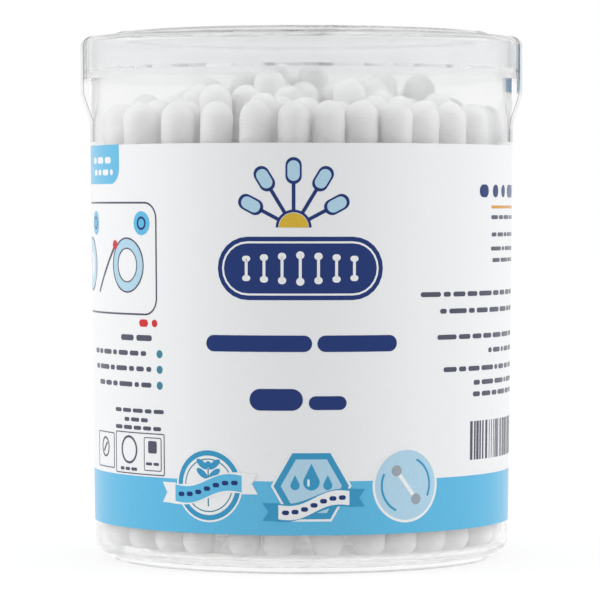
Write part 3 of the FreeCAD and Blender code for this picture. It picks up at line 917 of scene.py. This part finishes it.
# Rows at the right: where each starts, its height, and the height of its bars. All end at one
# place, and their seeds count up from one.
RIGHT_HEADING = ((32.2, 60.0, 58.4, 2.0, 41, 5.5),)
RIGHT_RULE = (48.0, 55.9)
RIGHT_END = 60.0
RIGHT_SEED = 50
RIGHT_ROWS = (
    (36.0, 54.3, 0.62), (36.2, 51.6, 0.62), (36.0, 49.4, 0.62), (36.6, 47.6, 0.62),
    (19.2, 42.5, 0.75), (23.0, 39.9, 0.75), (22.5, 35.9, 0.75), (35.4, 33.6, 0.75),
    (23.8, 30.9, 0.75), (31.0, 28.7, 0.75), (30.8, 26.9, 0.75),
)
# Upright stripes: their field's edges, and the widths and gaps that they are drawn from by lot
STRIPES_LEFT, STRIPES_RIGHT, STRIPES_LOW, STRIPES_TOP = 30.2, 52.0, 16.7, 22.7
STRIPE_WIDTHS = (0.22, 0.22, 0.44, 0.66)
STRIPE_GAPS = (0.24, 0.4, 0.6)
STRIPES_SEED = 12


def print_right_panel():
    """Rows of bars and plain upright stripes at the right of the label."""
    wrap("right_heading", bar_rows(RIGHT_HEADING), INK["navy"])
    wrap("right_rule", bar(*RIGHT_RULE, width=24.0, height=0.45), INK["orange"])
    rows = [
        (left, RIGHT_END, height, thick, RIGHT_SEED + n)
        for n, (left, height, thick) in enumerate(RIGHT_ROWS)
    ]
    wrap("right_words", bar_rows(rows), INK["text"])
    pick = random.Random(STRIPES_SEED)
    stripes = []
    x = STRIPES_LEFT
    while x < STRIPES_RIGHT:
        width = pick.choice(STRIPE_WIDTHS)
        stripes.append(block(x, x + width, STRIPES_LOW, STRIPES_TOP))
        x += width + pick.choice(STRIPE_GAPS)
    wrap("right_stripes", stripes, INK["text"])


# The seal film: how far its inner face stands off the lid's skirt, and off the neck at its end,
# then its print: half width, lower and upper edges, and rows of bars
FILM_STAND = 0.25
FILM_END_STAND = 0.1
FILM_PRINT_HALF_WIDTH = 5.3
FILM_FIELD_LOW, FILM_FIELD_TOP = 74.2, 81.9
FILM_END_LOW, FILM_END_TOP = 66.3, 68.1
FILM_BARS = ((-5.0, 5.2, 80.0, 0.9, 71), (-4.6, 4.6, 78.2, 0.9, 72))
FILM_ROUGHNESS = 0.25


def film_face(node, stand):
    """Places on the film's inner face at +X, off the side of a node."""
    radius = float(corners_of(node)[:, 0].max()) / MM + stand

    def place(across, height, lift):
        angle = across / radius
        out = (radius - lift) * MM
        return Vector((out * math.cos(angle), out * math.sin(angle), height * MM))

    return place


def print_film():
    """The coloured field on the film's right leg, beside the skirt, and its coloured end."""
    blue = printed("film_blue", FILM_BLUE, FILM_ROUGHNESS)
    pale = printed("film_white", WHITE, FILM_ROUGHNESS)
    half = FILM_PRINT_HALF_WIDTH
    beside_skirt = dict(place=film_face("lid", FILM_STAND), body="lid", slot="seal_film")
    on_neck = dict(place=film_face("tub", FILM_END_STAND), body="lid", slot="seal_film")
    field = block(-half, half, FILM_FIELD_LOW, FILM_FIELD_TOP)
    wrap("film_field", [field], blue, layer=1, **beside_skirt)
    wrap("film_marks", bar_rows(FILM_BARS), pale, **beside_skirt)
    wrap("film_end_print", [block(-half, half, FILM_END_LOW, FILM_END_TOP)], blue, **on_neck)


def make_prints():
    """Every colour of the label's and the film's print."""
    print_band()
    print_tab()
    print_panel()
    print_left_bars()
    print_small_boxes()
    print_spray()
    print_plaque()
    print_front_bars()
    print_sprig_badge()
    print_ribbons()
    print_drops_badge()
    print_swab_badge()
    print_right_panel()
    print_film()


# Cotton: the bud's own sizes, as in the solids, then the rings and sides of its surface, and
# the power that crowds the rings towards its tip
BUD_RADIUS = 2.6
BUD_LENGTH = 15.0
COLLAR_RADIUS = 1.45
TIP_COVER = 1.3
BUD_RINGS = 26
BUD_SIDES = 28
TIP_CROWDING = 1.6

# Its form: least share of the full girth, how far the surface stays inside the solid, the least
# radius, and how far in from the tip the middle of the crown lies
SLIMMEST = 0.965
BUD_SHRINK = 0.05
LEAST_RADIUS = 0.02
CROWN_DEPTH = 0.03

# Its unevenness: lumps as fineness and height, the lumps' stretch along the bud, the span of
# noise they are taken from, height and turns of the winding, and how soon all of it is full
LUMPS = ((1.3, 0.07), (3.5, 0.03))
LUMP_STRETCH = 0.35
NOISE_SPAN = 90
WINDING = 0.022
FEWEST_TURNS, MOST_TURNS = 5.0, 8.0
UNEVENNESS_RISE = 1.2

# Seeds: the step from one row of swabs to the next, and from one swab to the next
ROW_SEEDS, SWAB_SEEDS = 1000, 10

# Points of a mesh that round to the same multiple of this length, in metres, count as one
WELD_STEP = 1e-7


def joined_parts(node):
    """The node's loose parts, each as an array of its points."""
    points = corners_of(node)
    keys = {}
    weld = [keys.setdefault(tuple(np.round(p / WELD_STEP).astype(int)), n) for n, p in enumerate(points)]
    parent = list(range(len(points)))

    def root(n):
        while parent[n] != n:
            parent[n] = parent[parent[n]]
            n = parent[n]
        return n

    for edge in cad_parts[node].data.edges:
        a, b = (root(weld[v]) for v in edge.vertices)
        parent[a] = b
    parts = {}
    for n in set(weld):
        parts.setdefault(root(n), []).append(points[n])
    return [np.array(part) for part in parts.values()]


def stem_ends(node):
    """The two end middles of every stem in a node, in order round the tub."""
    ends = []
    for part in joined_parts(node):
        middle = part[:, 2].mean()
        low, high = part[part[:, 2] < middle].mean(0), part[part[:, 2] > middle].mean(0)
        ends.append((Vector(low), Vector(high)))
    return sorted(ends, key=lambda pair: (round(math.atan2(pair[0].y, pair[0].x), 4), pair[0].z))


def bud_profile(along):
    """The bud's radius at a distance from its tip, in millimetres."""
    if along < BUD_RADIUS:
        return math.sqrt(max(BUD_RADIUS**2 - (BUD_RADIUS - along) ** 2, 0.0))
    inward, length = BUD_RADIUS - COLLAR_RADIUS, BUD_LENGTH - BUD_RADIUS
    side = (length**2 + inward**2) / (2 * inward)
    return BUD_RADIUS - side + math.sqrt(side**2 - (along - BUD_RADIUS) ** 2)


def add_bud(solid, tip, inward, seed):
    """Winds one bud of cotton: its turns, lumps and flattened crown."""
    pick = random.Random(seed)
    across = inward.orthogonal().normalized()
    other = inward.cross(across)
    drift = Vector([pick.uniform(0, NOISE_SPAN) for axis in range(3)])
    start = pick.uniform(0, 2 * math.pi)
    turns = pick.uniform(FEWEST_TURNS, MOST_TURNS)
    slim = pick.uniform(SLIMMEST, 1.0)
    rows = []
    for n in range(1, BUD_RINGS + 1):
        along = BUD_LENGTH * (n / BUD_RINGS) ** TIP_CROWDING
        radius = bud_profile(along) * slim
        unevenness = min(radius / BUD_RADIUS * UNEVENNESS_RISE, 1.0)
        row = []
        for k in range(BUD_SIDES):
            angle = 2 * math.pi * k / BUD_SIDES
            spot = Vector((math.cos(angle), math.sin(angle), along * LUMP_STRETCH))
            lump = sum(noise.noise(spot * fine + drift) * height for fine, height in LUMPS)
            winding = WINDING * math.sin(angle + start + turns * along / BUD_LENGTH * 2 * math.pi)
            out = max(radius - BUD_SHRINK + (lump + winding) * unevenness, LEAST_RADIUS)
            outward = across * math.cos(angle) + other * math.sin(angle)
            row.append(solid.verts.new(tip + inward * (along * MM) + outward * (out * MM)))
        rows.append(row)
    crown = solid.verts.new(tip + inward * (CROWN_DEPTH * MM))
    base = solid.verts.new(tip + inward * (BUD_LENGTH * MM))
    for k in range(BUD_SIDES):
        following = (k + 1) % BUD_SIDES
        solid.faces.new((crown, rows[0][following], rows[0][k]))
        solid.faces.new((base, rows[-1][k], rows[-1][following]))
        for near, far in zip(rows, rows[1:]):
            solid.faces.new((near[k], near[following], far[following], far[k]))


def make_buds(name, stems, end, seed, material):
    """The wound buds of one row, all at the lower ends of its stems or all at the upper ones."""
    solid = bmesh.new()
    for n, (low, high) in enumerate(stems):
        up = (high - low).normalized()
        inward = up if end == 0 else -up
        tip = (low, high)[end] - inward * (TIP_COVER * MM)
        add_bud(solid, tip, inward, seed + SWAB_SEEDS * n + end)
    bmesh.ops.recalc_face_normals(solid, faces=solid.faces[:])
    mesh = bpy.data.meshes.new(name)
    solid.to_mesh(mesh)
    solid.free()
    for face in mesh.polygons:
        face.use_smooth = True
    return new_piece(name, mesh, material, "tub")


def make_cotton():
    """Replaces the plain buds of every row with wound ones on the same stems."""
    cotton = cotton_material()
    white = stem_material()
    stem_nodes = sorted(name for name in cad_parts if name.endswith("_stems"))
    for row_number, node in enumerate(stem_nodes):
        dress(node, white)
        row = node.removesuffix("_stems")
        stems = stem_ends(node)
        for end, kind in enumerate(("lower_buds", "upper_buds")):
            piece = make_buds(f"{row}_{kind}_wound", stems, end, ROW_SEEDS * row_number, cotton)
            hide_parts(f"{row}_{kind}")


# The studio
bpy.context.scene.view_settings.view_transform = "Standard"
set_camera()
set_world()
for lamp_name, (lamp_place, lamp_size, lamp_power) in SOFTBOXES.items():
    make_softbox(lamp_name, lamp_place, lamp_size, lamp_power)
make_floor()

# The object
for clear_node, plastic in CLEAR_PLASTICS.items():
    dress(clear_node, clear_plastic(**plastic))
dress("label", printed("label_white", WHITE, spread=0.012))
make_prints()
make_cotton()
